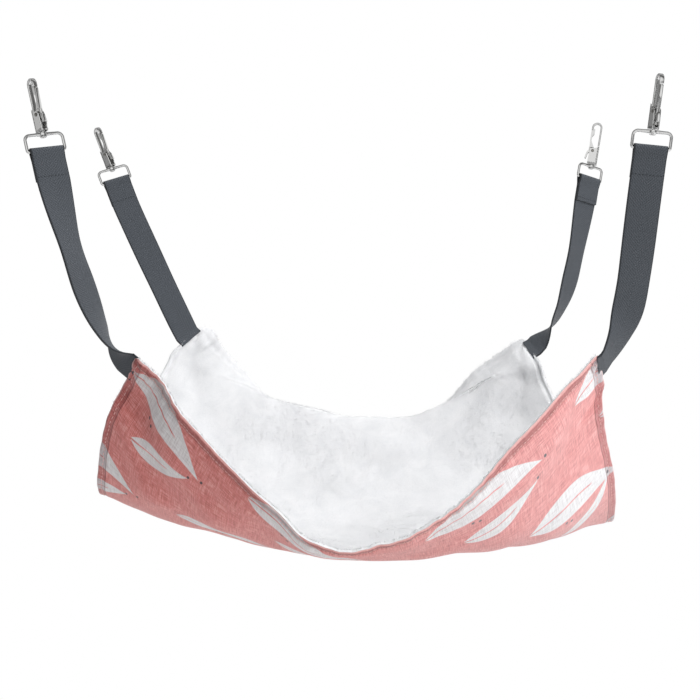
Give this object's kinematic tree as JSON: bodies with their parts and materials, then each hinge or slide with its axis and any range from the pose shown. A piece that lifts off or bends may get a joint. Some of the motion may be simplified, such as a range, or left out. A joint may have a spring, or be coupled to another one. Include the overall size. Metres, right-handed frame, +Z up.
{
  "type": "cat hammock",
  "caption": "Hanging cloth bed for a cage: a cotton panel with a plush lining, carried at its corners by webbing straps with rings and swivelling snap hooks.",
  "frame": {"origin": "centre of the seats inside the crooks of the hooks, where the cage's bars lie", "axes": "+X along the bed's longer side, +Y across it away from the viewer of the picture, +Z up"},
  "size_m": [0.4788, 0.3417, 0.3726],
  "materials": {
    "cover": "matte printed cotton, plain weave",
    "lining": "matte short-pile plush",
    "strap": "matte woven webbing",
    "nickel": "bright nickel plate",
    "spring": "plain steel"
  },
  "bodies": {
    "panel": {"cover": "cover", "lining": "lining"},
    "front_left_strap": {"front_left_strap": "strap"},
    "front_left_ring": {"front_left_ring": "nickel"},
    "front_left_hook": {"front_left_hook_body": "nickel", "front_left_swivel_rivet": "nickel", "front_left_gate_pin": "spring", "front_left_gate_spring": "spring"},
    "front_left_gate": {"front_left_gate": "nickel"},
    "front_right_strap": {"front_right_strap": "strap"},
    "front_right_ring": {"front_right_ring": "nickel"},
    "front_right_hook": {"front_right_hook_body": "nickel", "front_right_swivel_rivet": "nickel", "front_right_gate_pin": "spring", "front_right_gate_spring": "spring"},
    "front_right_gate": {"front_right_gate": "nickel"},
    "rear_left_strap": {"rear_left_strap": "strap"},
    "rear_left_ring": {"rear_left_ring": "nickel"},
    "rear_left_hook": {"rear_left_hook_body": "nickel", "rear_left_swivel_rivet": "nickel", "rear_left_gate_pin": "spring", "rear_left_gate_spring": "spring"},
    "rear_left_gate": {"rear_left_gate": "nickel"},
    "rear_right_strap": {"rear_right_strap": "strap"},
    "rear_right_ring": {"rear_right_ring": "nickel"},
    "rear_right_hook": {"rear_right_hook_body": "nickel", "rear_right_swivel_rivet": "nickel", "rear_right_gate_pin": "spring", "rear_right_gate_spring": "spring"},
    "rear_right_gate": {"rear_right_gate": "nickel"}
  },
  "joints": [
    {"name": "front_left_seam_fold", "type": "hinge", "parent": "panel", "child": "front_left_strap", "pos_m": [-0.16054, -0.13084, -0.20857], "axis": [-0.388, 0.6264, -0.6761], "range_deg": [-40, 40]},
    {"name": "front_left_ring_swing", "type": "hinge", "parent": "front_left_strap", "child": "front_left_ring", "pos_m": [-0.2154, -0.16428, -0.05063], "axis": [0.8597, 0.4906, 0.1421], "range_deg": [-75, 75]},
    {"name": "front_left_hook_swivel", "type": "hinge", "parent": "front_left_ring", "child": "front_left_hook", "pos_m": [-0.21854, -0.16262, -0.0373], "axis": [-0.228, 0.1198, 0.9663], "continuous": true},
    {"name": "front_left_gate_open", "type": "hinge", "parent": "front_left_hook", "child": "front_left_gate", "pos_m": [-0.22097, -0.16175, -0.02452], "axis": [-0.7643, -0.6369, -0.1014], "range_deg": [0, 12], "stiffness_Nm_per_rad": 0.05, "springref_deg": -8.59, "deforming": ["front_left_gate_spring"]},
    {"name": "front_right_seam_fold", "type": "hinge", "parent": "panel", "child": "front_right_strap", "pos_m": [0.18946, -0.13359, -0.20708], "axis": [0.1832, 0.7226, -0.6665], "range_deg": [-40, 40]},
    {"name": "front_right_ring_swing", "type": "hinge", "parent": "front_right_strap", "child": "front_right_ring", "pos_m": [0.22101, -0.15158, -0.04808], "axis": [0.9951, 0.007, -0.0986], "range_deg": [-75, 75]},
    {"name": "front_right_hook_swivel", "type": "hinge", "parent": "front_right_ring", "child": "front_right_hook", "pos_m": [0.22238, -0.15327, -0.03445], "axis": [0.0988, -0.1225, 0.9875], "continuous": true},
    {"name": "front_right_gate_open", "type": "hinge", "parent": "front_right_hook", "child": "front_right_gate", "pos_m": [0.22381, -0.15574, -0.02174], "axis": [-0.982, -0.1724, 0.0768], "range_deg": [0, 12], "stiffness_Nm_per_rad": 0.05, "springref_deg": -8.59, "deforming": ["front_right_gate_spring"]},
    {"name": "rear_left_seam_fold", "type": "hinge", "parent": "panel", "child": "rear_left_strap", "pos_m": [-0.14754, 0.13902, -0.19759], "axis": [-0.6251, -0.5386, -0.5649], "range_deg": [-40, 40]},
    {"name": "rear_left_ring_swing", "type": "hinge", "parent": "rear_left_strap", "child": "rear_left_ring", "pos_m": [-0.216, 0.15185, -0.05248], "axis": [0.889, 0.3414, 0.3051], "range_deg": [-75, 75]},
    {"name": "rear_left_hook_swivel", "type": "hinge", "parent": "rear_left_ring", "child": "rear_left_hook", "pos_m": [-0.221, 0.15347, -0.03973], "axis": [-0.3624, 0.1174, 0.9246], "continuous": true},
    {"name": "rear_left_gate_open", "type": "hinge", "parent": "rear_left_hook", "child": "rear_left_gate", "pos_m": [-0.22519, 0.15432, -0.02742], "axis": [-0.7298, -0.6528, -0.2032], "range_deg": [0, 12], "stiffness_Nm_per_rad": 0.05, "springref_deg": -8.59, "deforming": ["rear_left_gate_spring"]},
    {"name": "rear_right_seam_fold", "type": "hinge", "parent": "panel", "child": "rear_right_strap", "pos_m": [0.17114, 0.13472, -0.20889], "axis": [0.3171, -0.7734, -0.5489], "range_deg": [-40, 40]},
    {"name": "rear_right_ring_swing", "type": "hinge", "parent": "rear_right_strap", "child": "rear_right_ring", "pos_m": [0.22618, 0.15174, -0.0509], "axis": [0.8255, 0.5254, -0.2061], "range_deg": [-75, 75]},
    {"name": "rear_right_hook_swivel", "type": "hinge", "parent": "rear_right_ring", "child": "rear_right_hook", "pos_m": [0.2285, 0.15339, -0.0374], "axis": [0.1683, 0.1194, 0.9785], "continuous": true},
    {"name": "rear_right_gate_open", "type": "hinge", "parent": "rear_right_hook", "child": "rear_right_gate", "pos_m": [0.22981, 0.15511, -0.02455], "axis": [0.1601, 0.9761, -0.1466], "range_deg": [0, 12], "stiffness_Nm_per_rad": 0.05, "springref_deg": -8.59, "deforming": ["rear_right_gate_spring"]}
  ]
}
